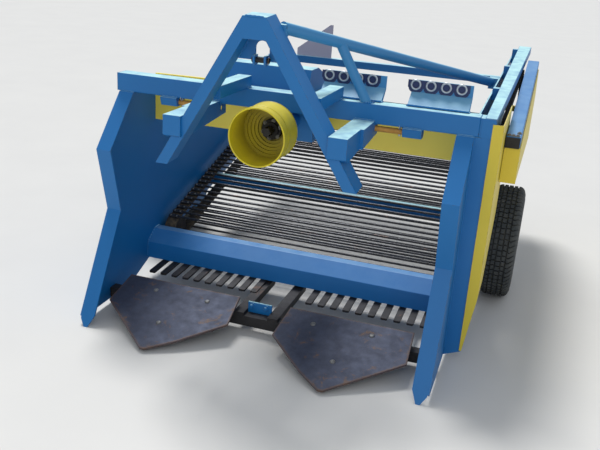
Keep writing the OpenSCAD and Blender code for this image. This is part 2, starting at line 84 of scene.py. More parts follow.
def linear(hex_colour):
    """An sRGB hex colour, such as "3A78C0", as the linear RGBA that shaders take."""
    parts = [int(hex_colour[i:i + 2], 16) / 255 for i in (0, 2, 4)]
    return (*(c / 12.92 if c <= 0.04045 else ((c + 0.055) / 1.055) ** 2.4 for c in parts), 1.0)


def feed(tree, node, inputs):
    """Sets sockets of a node, each to a value or to the socket that feeds it."""
    for key, value in inputs.items():
        if isinstance(value, bpy.types.NodeSocket):
            tree.links.new(value, node.inputs[key])
        else:
            node.inputs[key].default_value = value


def add(tree, kind, inputs=None, **settings):
    """Adds one node: settings are its properties, inputs its sockets as in feed."""
    node = tree.nodes.new(kind)
    for name, value in settings.items():
        setattr(node, name, value)
    feed(tree, node, inputs or {})
    return node


def new_finish(name):
    """A new material with its shader and output: (material, tree, shader, coordinates)."""
    finish = bpy.data.materials.new(name)
    finish.use_nodes = True
    tree = finish.node_tree
    tree.nodes.clear()
    shader = add(tree, "ShaderNodeBsdfPrincipled")
    add(tree, "ShaderNodeOutputMaterial", {"Surface": shader.outputs["BSDF"]})
    place = add(tree, "ShaderNodeTexCoord")
    return finish, tree, shader, place


def per_mm(size):
    """The scale of a pattern in object space whose features are that many millimetres across."""
    return 1000.0 / size


def squareness(tree, reach):
    """1 on a flat face and less near an edge, where the rounded normal leaves the true one."""
    rounded = add(tree, "ShaderNodeBevel", {"Radius": reach}, samples=4)
    flat = add(tree, "ShaderNodeNewGeometry")
    edge = add(tree, "ShaderNodeVectorMath", {
        0: rounded.outputs[0], 1: flat.outputs["Normal"]}, operation="DOT_PRODUCT")
    return edge.outputs["Value"]


# The paint's patterns in millimetres: uneven spraying, dust with painted top light, chips and
# scratches.
# Real scratches are finer and wouldn't show, so they are drawn about 1 mm wide.
SPRAY_CLOUD, DUST_AND_LIGHT_PATCH, CHIP_GRIT, SCRATCH = 260, 70, 34, 9
CHIP_REACH = 4 * MM
DUST_AND_LIGHT_FROM, DUST_AND_LIGHT_FULL = 0.76, 0.98  # how squarely a face looks up where dust and painted top light start and are full


def sprayed_enamel(name, coat, shade, chip, dust, dust_and_top_light_level):
    """Alkyd enamel sprayed on rolled steel plate.

    It gives the eye a satin, faintly uneven colour, chips down to brown steel
    along the edges, thin scratches, and pale soil dust on what faces up,
    with painted sunlight and sky reflection in it on the blue coats.
    """
    finish, tree, shader, place = new_finish(name)
    where = place.outputs["Object"]
    clouds = add(tree, "ShaderNodeTexNoise", {
        "Vector": where, "Scale": per_mm(SPRAY_CLOUD), "Detail": 4.0, "Roughness": 0.6})
    tint = add(tree, "ShaderNodeMix", {
        0: clouds.outputs["Fac"], 6: linear(shade), 7: linear(coat)}, data_type="RGBA")
    # Soil dust, and on the blues painted sunlight and sky reflection, lie on upward faces in soft
    # patches
    facing = add(tree, "ShaderNodeSeparateXYZ", {0: place.outputs["Normal"]})
    patches = add(tree, "ShaderNodeTexNoise", {
        "Vector": where, "Scale": per_mm(DUST_AND_LIGHT_PATCH), "Detail": 6.0, "Roughness": 0.65})
    facing_up = add(tree, "ShaderNodeMapRange", {
        "Value": facing.outputs["Z"], "From Min": DUST_AND_LIGHT_FROM, "From Max": DUST_AND_LIGHT_FULL})
    lying = add(tree, "ShaderNodeMapRange", {
        "Value": patches.outputs["Fac"], "From Min": 0.0, "From Max": 0.6, "To Max": dust_and_top_light_level})
    dust_and_top_light = add(tree, "ShaderNodeMath", {
        0: facing_up.outputs[0], 1: lying.outputs[0]}, operation="MULTIPLY", use_clamp=True)
    layered = add(tree, "ShaderNodeMix", {
        0: dust_and_top_light.outputs[0], 6: tint.outputs[2], 7: linear(dust)}, data_type="RGBA")
    # Chips break out along the edges, where the grit is coarsest
    near_edge = add(tree, "ShaderNodeMapRange", {
        "Value": squareness(tree, CHIP_REACH), "From Min": 0.99, "From Max": 0.86, "To Max": 0.34})
    grit = add(tree, "ShaderNodeTexNoise", {
        "Vector": where, "Scale": per_mm(CHIP_GRIT), "Detail": 9.0, "Roughness": 0.72})
    worn = add(tree, "ShaderNodeMath", {
        0: near_edge.outputs[0], 1: grit.outputs["Fac"]}, operation="ADD")
    chips = add(tree, "ShaderNodeMapRange", {
        "Value": worn.outputs[0], "From Min": 0.86, "From Max": 0.92})
    # Long thin scratches
    streaks = add(tree, "ShaderNodeTexNoise", {
        "Vector": where, "Scale": per_mm(SCRATCH), "Detail": 3.0, "Roughness": 0.9,
        "Distortion": 4.0})
    scratch = add(tree, "ShaderNodeMapRange", {
        "Value": streaks.outputs["Fac"], "From Min": 0.75, "From Max": 0.78, "To Max": 0.35})
    bare = add(tree, "ShaderNodeMath", {
        0: chips.outputs[0], 1: scratch.outputs[0]}, operation="MAXIMUM", use_clamp=True)
    colour = add(tree, "ShaderNodeMix", {
        0: bare.outputs[0], 6: layered.outputs[2], 7: linear(chip)}, data_type="RGBA")
    # Under dust and painted top light the coat is matt; the clean coat is satin
    dull = add(tree, "ShaderNodeMapRange", {
        "Value": dust_and_top_light.outputs[0], "To Min": 0.46, "To Max": 0.8})
    relief = add(tree, "ShaderNodeBump", {
        "Height": grit.outputs["Fac"], "Strength": 0.07, "Distance": 1 * MM})
    feed(tree, shader, {
        "Base Color": colour.outputs[2], "Roughness": dull.outputs[0],
        "Normal": relief.outputs[0], "IOR": 1.5})
    return finish


RUST_REACH = 16 * MM  # how far rust creeps in from a worn edge
PIT_SIZE = 3  # mm
BLOOM_SPREAD = 1.7  # rust blooms against the size of the dirt's clouds


def bare_steel(name, clean, dirt, rust, rust_from, dirt_size, roughness, metal, edge_rust=0.0):
    """Hot-rolled or drawn steel without paint.

    It gives the eye a dark metal with mill scale in clouds, dry soil in
    patches, and rust where its noise passes rust_from or an edge is worn.
    """
    finish, tree, shader, place = new_finish(name)
    where = place.outputs["Object"]
    clouds = add(tree, "ShaderNodeTexNoise", {
        "Vector": where, "Scale": per_mm(dirt_size), "Detail": 6.0, "Roughness": 0.65})
    scale = add(tree, "ShaderNodeMix", {
        0: clouds.outputs["Fac"], 6: linear(clean), 7: linear(dirt)}, data_type="RGBA")
    bloom = add(tree, "ShaderNodeTexNoise", {
        "Vector": where, "Scale": per_mm(dirt_size * BLOOM_SPREAD), "Detail": 9.0,
        "Roughness": 0.75, "Distortion": 0.6})
    worn = add(tree, "ShaderNodeMapRange", {
        "Value": squareness(tree, RUST_REACH), "From Min": 0.99, "From Max": 0.8,
        "To Max": edge_rust})
    both = add(tree, "ShaderNodeMath", {
        0: bloom.outputs["Fac"], 1: worn.outputs[0]}, operation="ADD")
    rusted = add(tree, "ShaderNodeMapRange", {
        "Value": both.outputs[0], "From Min": rust_from, "From Max": rust_from + 0.1})
    colour = add(tree, "ShaderNodeMix", {
        0: rusted.outputs[0], 6: scale.outputs[2], 7: linear(rust)}, data_type="RGBA")
    dull = add(tree, "ShaderNodeMapRange", {
        "Value": clouds.outputs["Fac"], "To Min": roughness[0], "To Max": roughness[1]})
    sheen = add(tree, "ShaderNodeMapRange", {
        "Value": rusted.outputs[0], "To Min": metal, "To Max": 0.0})
    pits = add(tree, "ShaderNodeTexNoise", {
        "Vector": where, "Scale": per_mm(PIT_SIZE), "Detail": 4.0})
    relief = add(tree, "ShaderNodeBump", {
        "Height": pits.outputs["Fac"], "Strength": 0.25, "Distance": 0.6 * MM})
    feed(tree, shader, {
        "Base Color": colour.outputs[2], "Roughness": dull.outputs[0],
        "Metallic": sheen.outputs[0], "Normal": relief.outputs[0]})
    return finish


HOLLOW_REACH = 120 * MM  # grime and painted shade gather where something stands this close
MOULD_GRAIN = 4  # mm


def moulded(name, base, dust, grime_and_shade, dust_size, dust_amount, roughness=0.78):
    """Moulded rubber or plastic.

    It gives the eye a matt or satin skin with a fine grain, dry soil rubbed
    into it in patches, and dark grime with painted shade in its hollows.
    """
    finish, tree, shader, place = new_finish(name)
    where = place.outputs["Object"]
    patches = add(tree, "ShaderNodeTexNoise", {
        "Vector": where, "Scale": per_mm(dust_size), "Detail": 7.0, "Roughness": 0.7})
    lying = add(tree, "ShaderNodeMapRange", {
        "Value": patches.outputs["Fac"], "From Min": 0.4, "From Max": 0.75, "To Max": dust_amount})
    layered = add(tree, "ShaderNodeMix", {
        0: lying.outputs[0], 6: linear(base), 7: linear(dust)}, data_type="RGBA")
    # Painted shade with grime darkens the hollows
    hollow = add(tree, "ShaderNodeAmbientOcclusion", {"Distance": HOLLOW_REACH}, samples=6)
    grime_and_shade_mask = add(tree, "ShaderNodeMapRange", {
        "Value": hollow.outputs["AO"], "From Min": 0.85, "From Max": 0.25, "To Max": 0.75})
    colour = add(tree, "ShaderNodeMix", {
        0: grime_and_shade_mask.outputs[0], 6: layered.outputs[2], 7: linear(grime_and_shade)}, data_type="RGBA")
    grain = add(tree, "ShaderNodeTexNoise", {
        "Vector": where, "Scale": per_mm(MOULD_GRAIN), "Detail": 3.0})
    relief = add(tree, "ShaderNodeBump", {
        "Height": grain.outputs["Fac"], "Strength": 0.2, "Distance": 0.5 * MM})
    feed(tree, shader, {
        "Base Color": colour.outputs[2], "Normal": relief.outputs[0],
        "Roughness": roughness, "IOR": 1.52})
    return finish


# Sprayed enamels, as (coat, its darker clouds, steel in the chips, dust with painted top light on
# the blues, how much of it)

# The frame's blue: satin, its tops painted pale, nearly cyan, with dust and painted sunlight and
# sky reflection
blue_enamel = sprayed_enamel("blue_enamel", "0C70B3", "0866A5", "4E4A48", "C4F0EA", 0.82)
# The same blue with little dust and painted top light on its tops: deep
deep_blue_coat = sprayed_enamel(
    "deep_blue_enamel", "0C70B6", "0866A8", "4E4A48", "BFE2EC", 0.22)
# Painted light: the same blue made paler and chalky, as the sunlit ring plates and braces show
sunlit_blue_enamel = sprayed_enamel(
    "painted_sunlit_blue_enamel", "3B88BC", "317BB0", "4E4A48", "C4F0EA", 0.72)
# Painted shade behind the rings: a flat, dull navy for the shaded lip and the rings' shadows
shade_navy_enamel = sprayed_enamel("painted_shade_navy_enamel", "182C5E", "12234C", "4E4A48", "6E7C96", 0.2)
# The guards' yellow: warm, with brown chips
yellow_enamel = sprayed_enamel("yellow_enamel", "DECA42", "D2BA34", "6A5A3C", "D6CDAE", 0.3)
# Painted light: the same yellow made light and even, as on the sunlit apron
lit_yellow_enamel = sprayed_enamel(
    "painted_light_yellow_enamel", "FFEA62", "F8DE52", "6A5A3C", "D6CDAE", 0.3)
# The rear plate's grey: plain, with a cool lilac cast
grey_enamel = sprayed_enamel("grey_enamel", "AEAEC2", "9C9CB4", "5A4A44", "B8B6B0", 0.35)
# Baked silver enamel on pressed rims: pale, with soil on it
rim_enamel = sprayed_enamel("rim_enamel", "C9CBCE", "A9ABB0", "6B5A4E", "A79A86", 0.5)

# Bare steels, as (clean, dirty, rust, where rust starts, dirt in mm, roughness from and to,
# metallic, rust along the edges)

# Drawn rods polished by soil: dark, with narrow bright streaks of light
web_steel = bare_steel(
    "drawn_web_steel", "4E4F54", "262524", "6B4A34", 0.60, 60, (0.16, 0.38), 0.6)
# Hot-rolled steel in its mill scale and old grease: nearly black and dull
dark_steel = bare_steel(
    "scaled_dark_steel", "3C3B3D", "242324", "54392A", 0.58, 45, (0.45, 0.8), 0.5)
# Hardened blades: temper colours from slate blue to violet, and brown along the edges
share_steel = bare_steel(
    "hardened_share_steel", "4E566C", "363844", "664C3A", 0.57, 38, (0.45, 0.75), 0.4, 0.6)
# Turned pins that have rusted all over: matt orange brown
rusty_steel = bare_steel(
    "rusty_pin_steel", "DCA650", "96692F", "A8662C", 0.6, 20, (0.5, 0.8), 0.2)
# Hot-dip galvanised bolts: mottled mid grey zinc
bolt_steel = bare_steel(
    "galvanised_bolt_steel", "8C8F92", "54504A", "6E5238", 0.62, 12, (0.4, 0.7), 0.6)
# Zinc-plated rings: light, clean and satin
ring_steel = bare_steel(
    "zinc_plated_ring_steel", "C9CED4", "9FA6AE", "7A6A5A", 0.68, 20, (0.25, 0.5), 0.8)

# Mouldings, as (base, dust, grime with painted shade in hollows, dust in mm, how much dust,
# roughness)

# Fabric-backed belt rubber: black, with brown soil pressed into it
belt_rubber = moulded("web_belt_rubber", "2A2826", "8A7656", "1E1A16", 18, 0.7)
# Tyre rubber: charcoal, greyed by road dust
tyre_rubber = moulded("tyre_rubber", "33383A", "77746A", "1B1B1B", 55, 0.35)
# The cone's polyethylene: a strong satin yellow, olive inside with grease and painted shade
cone_plastic = moulded("shaft_cone_plastic", "DDCB22", "A7984A", "55480F", 60, 0.4, 0.42)

FINISHES = {
    blue_enamel: [
        "side_wall_left", "side_wall_right", "top_beam", "a_frame", "hitch_brackets", "gearbox",
        "gearbox_hood", "cross_shaft_tube", "centre_bracket", "drive_side_plate",
        "web_supports", "top_rail", "rear_bar", "wheel_arms"],
    deep_blue_coat: ["cross_tube", "chain_cover"],
    sunlit_blue_enamel: ["ring_plates", "mast_braces"],
    yellow_enamel: ["chain_guard", "side_guard", "front_apron"],
    cone_plastic: ["shaft_cone"],
    grey_enamel: ["rear_plate"],
    rim_enamel: ["wheel_left", "wheel_right"],
    web_steel: ["web_rods", "web_drive_shaft", "cross_shaft"],
    dark_steel: ["input_shaft", "share_carrier", "finger_grates", "web_rollers", "drive_chain"],
    share_steel: ["share_left", "share_right"],
    rusty_steel: ["hitch_pins"],
    ring_steel: ["lip_rings"],
    belt_rubber: ["web_belts"],
    tyre_rubber: ["tyre_left", "tyre_right"],
}
for finish, members in FINISHES.items():
    for member in members:
        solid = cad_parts[member]
        solid.data.materials.clear()
        solid.data.materials.append(finish)

# Every edge of plate and section is slightly round, as sheared and welded steel is (mm)
EDGE_RADIUS = {
    "side_wall_left": 1.5, "side_wall_right": 1.5, "top_beam": 5, "a_frame": 3,
    "hitch_brackets": 2.5, "gearbox": 4, "chain_cover": 3, "ring_plates": 1.5, "cross_tube": 2,
    "top_rail": 3, "rear_bar": 4, "web_supports": 4, "share_left": 1.5, "share_right": 1.5,
    "share_carrier": 2, "finger_grates": 2, "centre_bracket": 1.5, "wheel_arms": 2,
    "chain_guard": 1, "side_guard": 1, "front_apron": 0.8, "drive_side_plate": 0.8,
}
SHARPEST_BEND = 35  # degrees: a corner sharper than this is an edge
for member, radius in EDGE_RADIUS.items():
    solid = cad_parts[member]
    weld = solid.modifiers.new("joined_corners", "WELD")
    weld.merge_threshold = SAME_POINT
    ease = solid.modifiers.new("eased_edges", "BEVEL")
    ease.width = radius * MM
    ease.segments = 2
    ease.limit_method = "ANGLE"
    ease.angle_limit = math.radians(SHARPEST_BEND)
    level = solid.modifiers.new("flat_faces", "WEIGHTED_NORMAL")
    level.weight = 80


# ---------------------------------------------------------------- mesh helpers

def round_angles(count, offset=0.0):
    """Even steps round a circle, the first of them offset by that share of a step."""
    return [2 * math.pi * (k + offset) / count for k in range(count)]


def along(origin, axis, turn=0.0):
    """The placing of a piece built round its own Z: at origin, along axis, turned about it."""
    aim = Vector(axis).to_track_quat("Z", "Y").to_matrix().to_4x4()
    return Matrix.Translation(origin) @ aim @ Matrix.Rotation(turn, 4, "Z")


def skin(bm, rings, looped=False):
    """Joins equal rings of points with faces, then shuts the ends, or joins them if looped."""
    rows = [[bm.verts.new(point) for point in ring] for ring in rings]
    count = len(rows[0])
    pairs = list(zip(rows, rows[1:])) + ([(rows[-1], rows[0])] if looped else [])
    for low, high in pairs:
        for i in range(count):
            j = (i + 1) % count
            bm.faces.new((low[i], low[j], high[j], high[i]))
    if not looped:
        bm.faces.new(reversed(rows[0]))
        bm.faces.new(rows[-1])


def turned(bm, profile, where, segments):
    """Revolves a profile of (radius, height) about the placing's Z axis."""
    skin(bm, [
        [where @ Vector((r * math.cos(a), r * math.sin(a), h)) for a in round_angles(segments)]
        for r, h in profile])


def plate(bm, outline, low, high, where):
    """An outline of (x, y) cut from plate, from height low to high of the placing."""
    skin(bm, [[where @ Vector((x, y, z)) for x, y in outline] for z in (low, high)])


def hex_bolt(bm, at, axis, across, turn):
    """A hexagon head with its chamfer on a washer, standing on a surface at that point."""
    where = along(at, axis, turn)
    washer = 0.0027
    turned(bm, [(across * 0.95, 0), (across * 0.95, 0.0022), (across * 0.9, washer)], where, 20)
    corner = across / 2 / math.cos(math.pi / 6)
    turned(bm, [
        (corner, washer), (corner, across * 0.58), (corner * 0.86, across * 0.68)], where, 6)


def weld_bead(bm, start, end, size):
    """A rippled weld bead along a seam, as hand welding leaves it."""
    start, end = Vector(start), Vector(end)
    where = along(start, end - start)
    length = (end - start).length
    ripple = 0.0045
    steps = max(4, int(length / ripple))
    rings = []
    for k in range(steps + 1):
        # Short and long waves, and thinner ends
        swell = size * (1 + 0.16 * math.sin(k * 1.9) + 0.05 * math.sin(k * 0.37))
        swell *= 0.55 if k in (0, steps) else 1.0
        rings.append([
            where @ Vector((swell * math.cos(a), swell * math.sin(a), length * k / steps))
            for a in round_angles(7)])
    skin(bm, rings)


def ring_wire(bm, path, radius, sides=8):
    """A round wire bent through a list of places and back to the first."""
    rings = []
    side = None
    for i, here in enumerate(path):
        run = (path[(i + 1) % len(path)] - path[i - 1]).normalized()
        side = (side - run * side.dot(run)).normalized() if side else run.orthogonal().normalized()
        over = run.cross(side)
        rings.append([
            here + radius * (side * math.cos(a) + over * math.sin(a)) for a in round_angles(sides)])
    skin(bm, rings, looped=True)


def rounded_box(width, height, radius):
    """The outline of a box with rounded corners, round its middle."""
    outline = []
    for quarter, (sx, sy) in enumerate(((1, 1), (-1, 1), (-1, -1), (1, -1))):
        for k in range(4):
            a = math.pi / 2 * (quarter + k / 3)
            outline.append((
                sx * (width / 2 - radius) + radius * math.cos(a),
                sy * (height / 2 - radius) + radius * math.sin(a)))
    return outline


def new_piece(name, bm, finish, body, smooth_deg, stands_for=()):
    """Makes the mesh a piece that rides on a body and takes the given finish."""
    bmesh.ops.recalc_face_normals(bm, faces=bm.faces)
    mesh = bpy.data.meshes.new(name)
    bm.to_mesh(mesh)
    bm.free()
    mesh.materials.append(finish)
    mesh.shade_smooth()
    mesh.set_sharp_from_angle(angle=math.radians(smooth_deg))
    piece = bpy.data.objects.new(name, mesh)
    scene.collection.objects.link(piece)
    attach(piece, body)
    if stands_for:
        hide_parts(*stands_for)


# ---------------------------------------------------------------- tyres

# Places in metres in from the tyre's widest face and down from its tread
SHOULDER = ((0.021, 0.0032), (0.014, 0.0085), (0.0085, 0.017))
SIDEWALL = (
    (0.004, 0.030), (0.0022, 0.036), (0.0038, 0.0372), (0.0006, 0.056), (0, 0.066),
    (0.0015, 0.0676), (0.0008, 0.081), (0.0008, 0.096), (0.0045, 0.106), (0.0052, 0.114),
    (0.0022, 0.1175), (0.008, 0.1258))
TREAD_INSET = 0.030
GROOVE_MIDDLES = (-0.033, -0.012, 0.012, 0.033)
GROOVE_TOP, GROOVE_FLOOR, GROOVE_DEPTH = 0.0032, 0.0024, 0.0075  # half widths, and depth
CROSS_GROOVE_DEPTH = GROOVE_DEPTH * 0.8
ROW_WIDTH = 0.021
PITCHES = 66  # blocks round the tyre
ZIGZAG = 0.55  # how far the grooves swing, in pitches
# One pitch round the tyre, as (place in it, is it in the cross groove)
PITCH_STEPS = ((0.0, True), (0.17, True), (0.20, False), (0.97, False))


def tyre(side):
    """A car tyre: five rows of blocks, zigzag grooves between them and ribbed sidewalls."""
    low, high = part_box(f"tyre_{side}")
    centre = (low + high) / 2
    radius = (high.z - low.z) / 2
    half = (high.x - low.x) / 2
    edge = half - TREAD_INSET
    # Across the tyre: (place, radius, kind of surface), with two points at each groove's wall
    tread = [(-edge, radius, "block")]
    for middle in GROOVE_MIDDLES:
        tread += [
            (middle - GROOVE_TOP, radius, "block"), (middle - GROOVE_FLOOR, radius, "groove"),
            (middle + GROOVE_FLOOR, radius, "groove"), (middle + GROOVE_TOP, radius, "block")]
    tread.append((edge, radius, "block"))
    flank = [(half - inward, radius - down, "block") for inward, down in SHOULDER]
    flank += [(half - inward, radius - down, "wall") for inward, down in SIDEWALL]
    profile = [(-x, r, kind) for x, r, kind in reversed(flank)] + tread + flank
    rings = []
    for pitch in range(PITCHES):
        for fraction, crossed in PITCH_STEPS:
            sunk = {"wall": 0.0, "groove": GROOVE_DEPTH,
                    "block": CROSS_GROOVE_DEPTH if crossed else 0.0}
            ring = []
            for x, r, kind in profile:
                swing = 0 if kind == "wall" else abs((x / ROW_WIDTH) % 2 - 1) * ZIGZAG
                turn = 2 * math.pi * (pitch + fraction + swing) / PITCHES
                reach = r - sunk[kind]
                ring.append(Vector((x, reach * math.cos(turn), reach * math.sin(turn))) + centre)
            rings.append(ring)
    bm = bmesh.new()
    skin(bm, rings, looped=True)
    new_piece(f"{side}_tyre_with_tread", bm, tyre_rubber, f"wheel_{side}_set", 28,
              [f"tyre_{side}"])


tyre("left")
tyre("right")


# ---------------------------------------------------------------- places on the machine

BEAM_FACE_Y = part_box("top_beam")[0].y
MAST_LEAN = math.radians(4.1)  # the mast leans back from its legs' feet
MAST_FOOT_Y, MAST_FOOT_Z = -330, 748
LEFT, RIGHT, AHEAD, UP = (Vector(axis) for axis in ((-1, 0, 0), (1, 0, 0), (0, -1, 0), (0, 0, 1)))
SIDES = ((-1, LEFT), (1, RIGHT))


def spot(x, y, z):
    """A place in millimetres from the middle of the beam's front face, at the ground."""
    return Vector((x * MM, BEAM_FACE_Y + y * MM, z * MM))


def mast_spot(x, y, z):
    """A place on the mast, in millimetres, as if the mast stood upright."""
    rise = z - MAST_FOOT_Z
    return spot(
        x, MAST_FOOT_Y + y * math.cos(MAST_LEAN) - rise * math.sin(MAST_LEAN),
        MAST_FOOT_Z + y * math.sin(MAST_LEAN) + rise * math.cos(MAST_LEAN))


# Shafts across the machine, as (length place, height) in millimetres
SHAFT_Z = 890
CROSS_SHAFT, IDLER = (345, SHAFT_Z), (1510, 955)
FRONT_ROLLER, REAR_SHAFT = (812, 330), (1880, 603.9)
WALL_X = 736
TOP_LINK_PIN = (67, 1161)  # on the upright mast


# ---------------------------------------------------------------- chain and sprockets

CHAIN_X = 818
CHAIN_PITCH = 19.05
PINS_ABOVE_ROOT = 6
# The sprockets as (length place, height, radius under the chain, teeth)
SPROCKETS = ((*CROSS_SHAFT, 48, 17), (*IDLER, 34, 13), (*REAR_SHAFT, 58, 21))
# Round one tooth, as (share of the pitch, height over the root)
TOOTH = (
    (-0.5, -1.0), (-0.3, -0.2), (-0.16, 5.5), (-0.06, 10), (0.06, 10), (0.16, 5.5), (0.3, -0.2))


def tangent_loop(wheels):
    """The line of a belt run clockwise round (y, z, radius) wheels, as points."""
    points = []
    for i, (y, z, r) in enumerate(wheels):
        following = wheels[(i + 1) % len(wheels)]
        turns = []
        for (ya, za, ra), (yb, zb, rb) in ((wheels[i - 1], wheels[i]), (wheels[i], following)):
            run = math.atan2(zb - za, yb - ya)
            turns.append(run + math.acos((ra - rb) / math.hypot(yb - ya, zb - za)))
        start, end = turns
        while end > start:
            end -= 2 * math.pi
        # A point every two millimetres where the belt lies on the wheel
        steps = max(1, int((start - end) * r / 2))
        for k in range(steps + 1):
            a = start + (end - start) * k / steps
            points.append((y + r * math.cos(a), z + r * math.sin(a)))
    return points


def even_steps(loop, pitch):
    """Points an even pitch apart round a loop, the pitch eased so that an even number fits."""
    runs = [math.dist(point, loop[(i + 1) % len(loop)]) for i, point in enumerate(loop)]
    total = sum(runs)
    count = 2 * round(total / pitch / 2)
    out, i, gone = [], 0, 0.0
    for k in range(count):
        goal = total * k / count
        while gone + runs[i] < goal:
            gone += runs[i]
            i += 1
        part = (goal - gone) / runs[i] if runs[i] else 0.0
        a, b = loop[i], loop[(i + 1) % len(loop)]
        out.append((a[0] + part * (b[0] - a[0]), a[1] + part * (b[1] - a[1])))
    return out


def link_plate(bm, a, b, x):
    """One waisted side plate of a chain link between two pins, 2 mm thick, on the plane x."""
    end_radius, waist = 8, 6.2
    run = math.atan2(b[1] - a[1], b[0] - a[0])
    middle = ((a[0] + b[0]) / 2, (a[1] + b[1]) / 2)
    outline = []
    for pin, first in ((b, run - math.pi / 2), (a, run + math.pi / 2)):
        outline += [
            (pin[0] + end_radius * math.cos(t), pin[1] + end_radius * math.sin(t))
            for t in (first + math.pi * k / 5 for k in range(6))]
        outline.append((middle[0] - waist * math.cos(first), middle[1] - waist * math.sin(first)))
    skin(bm, [[spot(x + thick, y, z) for y, z in outline] for thick in (-1, 1)])


def roller_chain():
    """The roller chain over its sprockets: inner and outer links in turn, rollers and pins."""
    roller, rivet = [(0.0058, -0.0047), (0.0058, 0.0047)], [(0.003, -0.0106), (0.003, 0.0106)]
    bm = bmesh.new()
    pins = even_steps(
        tangent_loop([(y, z, r + PINS_ABOVE_ROOT) for y, z, r, teeth in SPROCKETS]), CHAIN_PITCH)
    for k, pin in enumerate(pins):
        where = along(spot(CHAIN_X, *pin), RIGHT)
        beside = 8.4 if k % 2 else 5.8  # outer links lie outside the inner ones
        for side in (-1, 1):
            link_plate(bm, pin, pins[(k + 1) % len(pins)], CHAIN_X + side * beside)
        turned(bm, roller, where, 10)
        turned(bm, rivet, where, 8)
    # The idler's stub, wheel and hub
    idler = along(spot(CHAIN_X, *IDLER), RIGHT)
    turned(bm, [(0.0125, -0.082), (0.0125, 0.010)], idler, 28)
    turned(bm, [(0.0337, -0.003), (0.0337, 0.003)], idler, 40)
    turned(bm, [(0.021, -0.012), (0.021, 0.0045), (0.0195, 0.0055)], idler, 28)
    new_piece("roller_chain", bm, dark_steel, "frame", 35, ["drive_chain"])


def sprocket_teeth():
    """The toothed rims of the three sprockets, with the locked collars of the two driven ones."""
    bm = bmesh.new()
    for y, z, r, teeth in SPROCKETS:
        outline = []
        for k in range(teeth):
            for part, reach in TOOTH:
                a = 2 * math.pi * (k + part) / teeth
                outline.append(((r + reach) * MM * math.cos(a), (r + reach) * MM * math.sin(a)))
        plate(bm, outline, -0.0029, 0.0029, along(spot(CHAIN_X, y, z), RIGHT))
    for shaft, reach in ((CROSS_SHAFT, 0.026), (REAR_SHAFT, 0.028)):
        turned(bm, [(reach, 0.0035), (reach, 0.0078), (reach - 0.0015, 0.009)],
               along(spot(CHAIN_X, *shaft), RIGHT), 32)
    new_piece("sprocket_teeth", bm, dark_steel, "frame", 30)


roller_chain()
sprocket_teeth()


# ---------------------------------------------------------------- wheels

RIM_FACE, NUT_CIRCLE = 0.0215, 0.052
VALVE_CIRCLE, VALVE_TURN, VALVE_SEAT = 0.112, 2.2, 0.030


def wheel_fittings(side, outward):
    """What the rim carries: a grease cap, four nuts on their studs, and the valve."""
    cap = [(0.030, 0.028), (0.030, 0.040), (0.0285, 0.0445), (0.021, 0.048), (0.008, 0.0495)]
    washer = [(0.0125, -0.0005), (0.0125, 0.002)]
    nut = [(0.0105, 0.002), (0.0105, 0.013), (0.009, 0.015)]
    stud = [(0.0058, 0.014), (0.0058, 0.021), (0.005, 0.022)]
    valve = [(0.0055, -0.02), (0.0055, 0.004), (0.004, 0.006), (0.004, 0.018),
             (0.0048, 0.0185), (0.0048, 0.027), (0.004, 0.028)]
    low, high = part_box(f"tyre_{side}")
    centre = (low + high) / 2
    face = centre + outward * RIM_FACE
    bm = bmesh.new()
    turned(bm, cap, along(face, outward), 32)
    for k, a in enumerate(round_angles(4, 0.5)):
        at = face + Vector((0, math.cos(a), math.sin(a))) * NUT_CIRCLE
        turned(bm, washer, along(at, outward), 20)
        turned(bm, nut, along(at, outward, k), 6)
        turned(bm, stud, along(at, outward), 14)
    new_piece(f"{side}_wheel_nuts", bm, bolt_steel, f"wheel_{side}_set", 30)
    bm = bmesh.new()
    stem = Vector((0, math.cos(VALVE_TURN), math.sin(VALVE_TURN))) * VALVE_CIRCLE
    turned(bm, valve, along(centre + stem + outward * VALVE_SEAT, outward), 14)
    new_piece(f"{side}_valve", bm, tyre_rubber, f"wheel_{side}_set", 40)


wheel_fittings("left", LEFT)
wheel_fittings("right", RIGHT)


# ---------------------------------------------------------------- web and comb

WEB_SLOPE = math.radians(15.8)
# The clamp's outline in millimetres across and along the web
CLAMP = ((-26, -6), (-22, -10), (22, -10), (26, -6), (26, 6), (22, 10), (-22, 10), (-26, 6))
# Its place in from the belts' edges, its thickness and seat, and its rivets from its middle
CLAMP_INSET, CLAMP_THICK, CLAMP_SEAT, RIVET_REACH = 0.028, 0.0085, 0.0052, 0.015
RIVET_HEAD = ((0.0054, 0.0083), (0.0048, 0.0104), (0.0026, 0.0116))


def islands(member):
    """The boxes round the separate solids of a CAD node, as (low corner, high corner)."""
    bm = bmesh.new()
    bm.from_mesh(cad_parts[member].data)
    bm.transform(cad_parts[member].matrix_world)
    bmesh.ops.remove_doubles(bm, verts=bm.verts, dist=SAME_POINT)
    unread = set(bm.verts)
    boxes = []
    while unread:
        points, edge = [], [unread.pop()]
        while edge:
            vert = edge.pop()
            points.append(vert.co.copy())
            near = {link.other_vert(vert) for link in vert.link_edges} & unread
            unread -= near
            edge += near
        boxes.append(tuple(
            Vector([pick(p[i] for p in points) for i in range(3)]) for pick in (min, max)))
    bm.free()
    return sorted(boxes, key=lambda box: tuple(round(v, 4) for v in box[0]))


